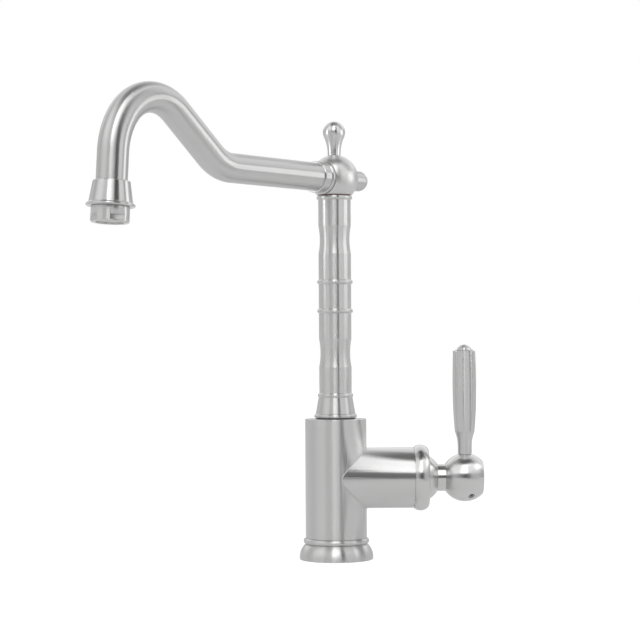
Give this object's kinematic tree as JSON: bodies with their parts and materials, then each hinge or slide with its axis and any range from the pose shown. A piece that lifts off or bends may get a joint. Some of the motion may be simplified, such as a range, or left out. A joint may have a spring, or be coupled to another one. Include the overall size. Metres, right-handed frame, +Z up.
{
  "type": "single lever mixer tap",
  "caption": "Deck mixer tap with turned column, swivelling swan-neck spout, side branch and fluted lever on a ball joint.",
  "frame": {"origin": "centre of the foot's underside on the column's axis, in the plane of the deck", "axes": "+Z up along the column, +X out along the side branch towards the lever, -Y towards the user at rest"},
  "size_m": [0.2915, 0.2364, 0.3539],
  "materials": {
    "steel": "satin brushed stainless steel",
    "brass": "machined brass",
    "copper": "drawn copper tube",
    "rubber": "black sealing rubber",
    "fibre": "dark bearing plastic",
    "ceramic": "lapped ceramic",
    "grey_plastic": "moulded plastic",
    "white_plastic": "moulded plastic",
    "dark_steel": "blackened steel"
  },
  "bodies": {
    "tap_body": {"base_flange": "steel", "base_gasket": "rubber", "body_shell": "steel", "valve_core": "brass", "cartridge_cup": "brass", "cup_screws": "steel", "port_seals": "rubber", "cartridge_seals": "rubber", "cartridge_base": "grey_plastic", "cartridge_housing": "grey_plastic", "fixed_disc": "ceramic", "cartridge_nut": "brass", "bead_ring": "steel", "foot_seal": "rubber", "column": "steel", "riser_tube": "copper", "swivel_spigot": "brass", "spigot_o_rings": "rubber", "swivel_washer": "fibre"},
    "spout": {"ball_head": "steel", "finial": "steel", "rear_knob": "steel", "spout_collar": "steel", "spout_tube": "steel", "outlet_sleeve": "steel", "aerator_housing": "steel", "aerator_gasket": "rubber", "aerator_insert": "white_plastic"},
    "turret": {"turret": "grey_plastic", "pivot_pin": "steel"},
    "lever": {"spindle": "steel", "spindle_adaptor": "brass", "lever_hub": "steel", "grub_screw": "dark_steel", "lever_stick": "steel", "lever_rod": "brass", "lever_cap": "steel"},
    "disc": {"moving_disc": "ceramic", "disc_holder": "grey_plastic"}
  },
  "joints": [
    {"name": "spout_swing", "type": "hinge", "parent": "tap_body", "child": "spout", "pos_m": [0, 0, 0.2989], "axis": [0, 0, 1], "continuous": true},
    {"name": "temperature_turn", "type": "hinge", "parent": "tap_body", "child": "turret", "pos_m": [0.0631, 0, 0.0634], "axis": [1, 0, 0], "range_deg": [-45, 45]},
    {"name": "flow_lift", "type": "hinge", "parent": "turret", "child": "lever", "pos_m": [0.0631, 0, 0.0634], "axis": [0, 1, 0], "range_deg": [0, 22]},
    {"name": "disc_slide", "type": "slide", "parent": "turret", "child": "disc", "axis": [0, 0, 1], "range_m": [0, 0.00641]}
  ],
  "couplings": [
    {"joint": "disc_slide", "follows": "flow_lift", "m_per_rad": 0.016683}
  ]
}
